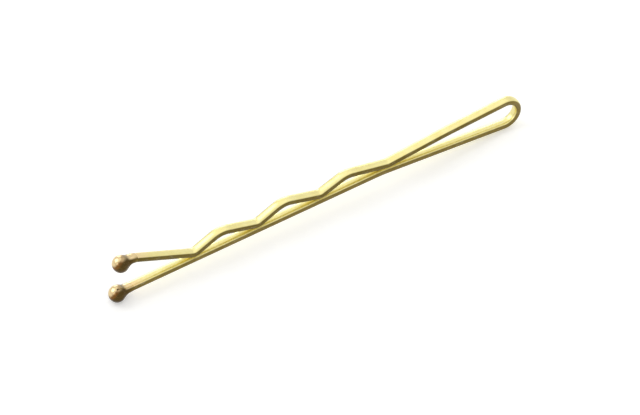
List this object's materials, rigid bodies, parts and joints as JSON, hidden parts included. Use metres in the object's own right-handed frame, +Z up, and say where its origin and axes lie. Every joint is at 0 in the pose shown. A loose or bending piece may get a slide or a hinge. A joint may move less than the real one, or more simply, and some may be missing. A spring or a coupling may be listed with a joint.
{
  "type": "bobby pin",
  "caption": "Crimped hair grip bent from one flat spring wire, with a straight leg, a wavy leg with a flared end, a drop-shaped loop and a dipped ball tip on each leg.",
  "frame": {"origin": "middle of the pin's length and width, on the surface that it stands on", "axes": "+X along the pin from the ball tips to the loop, +Y across the wire's width, +Z up from the straight leg to the wavy leg"},
  "size_m": [0.0508, 0.0018, 0.0061],
  "materials": {
    "gold_wire": "rolled spring wire with a pale gold lacquer",
    "tip_lacquer": "glossy amber-gold dipped lacquer"
  },
  "bodies": {
    "straight_side": {"straight_leg": "gold_wire", "leg_bend": "gold_wire", "lower_arm": "gold_wire", "lower_bend": "gold_wire", "straight_leg_tip": "tip_lacquer"},
    "loop_side": {"upper_bend": "gold_wire"},
    "arm_side": {"upper_arm": "gold_wire"},
    "wavy_side": {"last_dip": "gold_wire", "wave_3": "gold_wire", "wave_2": "gold_wire", "wave_1": "gold_wire", "flared_end": "gold_wire", "wavy_leg_tip": "tip_lacquer"}
  },
  "joints": [
    {"name": "loop_flex", "type": "hinge", "parent": "straight_side", "child": "loop_side", "pos_m": [0.02502, 0, 0.00205], "axis": [0, 1, 0], "range_deg": [0, 5], "stiffness_Nm_per_rad": 0.004, "springref_deg": -2.86},
    {"name": "arm_flex", "type": "hinge", "parent": "loop_side", "child": "arm_side", "pos_m": [0.02325, 0, 0.00367], "axis": [0, 1, 0], "range_deg": [0, 4], "stiffness_Nm_per_rad": 0.004, "springref_deg": -2.86},
    {"name": "leg_flex", "type": "hinge", "parent": "arm_side", "child": "wavy_side", "pos_m": [0.00892, 0, 0.00239], "axis": [0, 1, 0], "range_deg": [0, 3], "stiffness_Nm_per_rad": 0.004, "springref_deg": -2.86}
  ],
  "couplings": [
    {"joint": "arm_flex", "follows": "loop_flex", "ratio": 0.8},
    {"joint": "leg_flex", "follows": "loop_flex", "ratio": 0.6}
  ]
}
